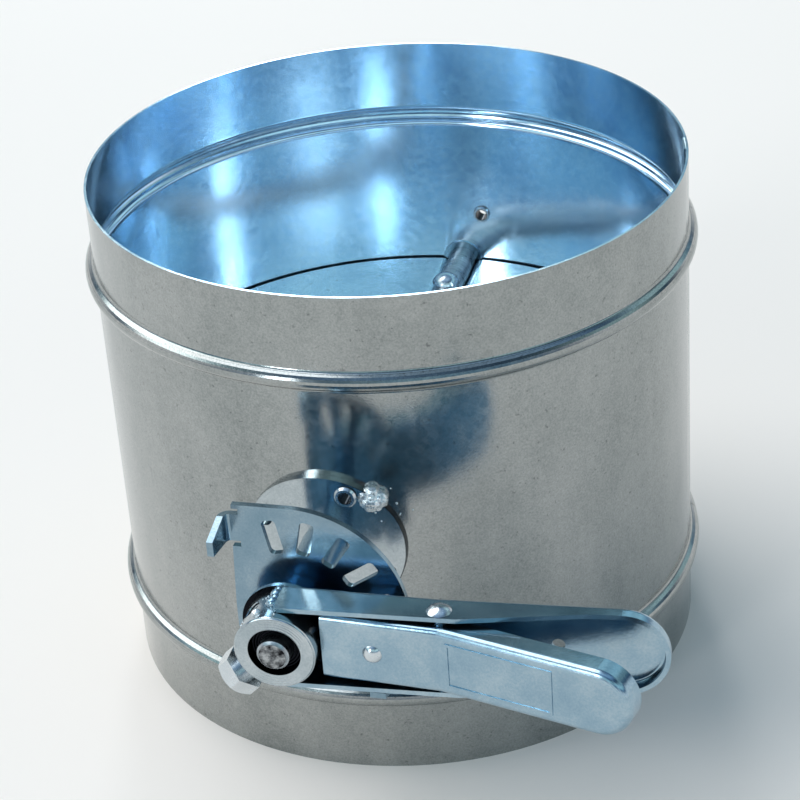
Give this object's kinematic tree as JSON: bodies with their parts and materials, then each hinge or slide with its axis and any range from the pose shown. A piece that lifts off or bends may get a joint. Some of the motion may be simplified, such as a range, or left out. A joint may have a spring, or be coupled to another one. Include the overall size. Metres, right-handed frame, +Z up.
{
  "type": "manual duct damper",
  "caption": "Round galvanised duct damper with rolled beads, a shaft-mounted blade, a slotted sector plate and a squeeze-to-release locking handle.",
  "frame": {"origin": "centre of the sleeve's lower rim", "axes": "+Z up along the duct, the shaft along Y with the handle on the -Y side, the handle pointing to +X when the blade is shut"},
  "size_m": [0.2175, 0.282, 0.175],
  "materials": {
    "galvanised_sheet": "galvanised sheet, satin with soft mottling",
    "zinc_plated": "bright zinc plated pressed steel",
    "rivet_steel": "plated, satin",
    "turned_steel": "turned, plain",
    "dark_spring_steel": "oiled spring steel"
  },
  "bodies": {
    "casing": {"duct_body": "galvanised_sheet", "front_flange": "galvanised_sheet", "rear_flange": "galvanised_sheet", "front_flange_rivets": "rivet_steel", "rear_flange_rivets": "rivet_steel", "neck_tube": "zinc_plated", "rear_bush": "zinc_plated", "sector_plate": "zinc_plated"},
    "blade_and_handle": {"shaft": "turned_steel", "blade": "galvanised_sheet", "blade_rivets": "rivet_steel", "rear_washer": "zinc_plated", "retaining_ring": "dark_spring_steel", "handle_hub": "zinc_plated", "clamp_bolt": "rivet_steel", "rear_lever": "zinc_plated", "hinge_pin": "rivet_steel", "trigger_spring": "dark_spring_steel"},
    "trigger": {"trigger_lever": "zinc_plated", "latch": "zinc_plated", "latch_rivet": "rivet_steel"}
  },
  "joints": [
    {"name": "blade_turn", "type": "hinge", "parent": "casing", "child": "blade_and_handle", "pos_m": [0, 0, 0.0875], "axis": [0, -1, 0], "range_deg": [0, 90]},
    {"name": "trigger_squeeze", "type": "hinge", "parent": "blade_and_handle", "child": "trigger", "pos_m": [0.0485, -0.149, 0.0875], "axis": [0, 0, 1], "range_deg": [0, 14], "stiffness_Nm_per_rad": 0.8, "springref_deg": -28.65, "deforming": ["trigger_spring"]}
  ]
}
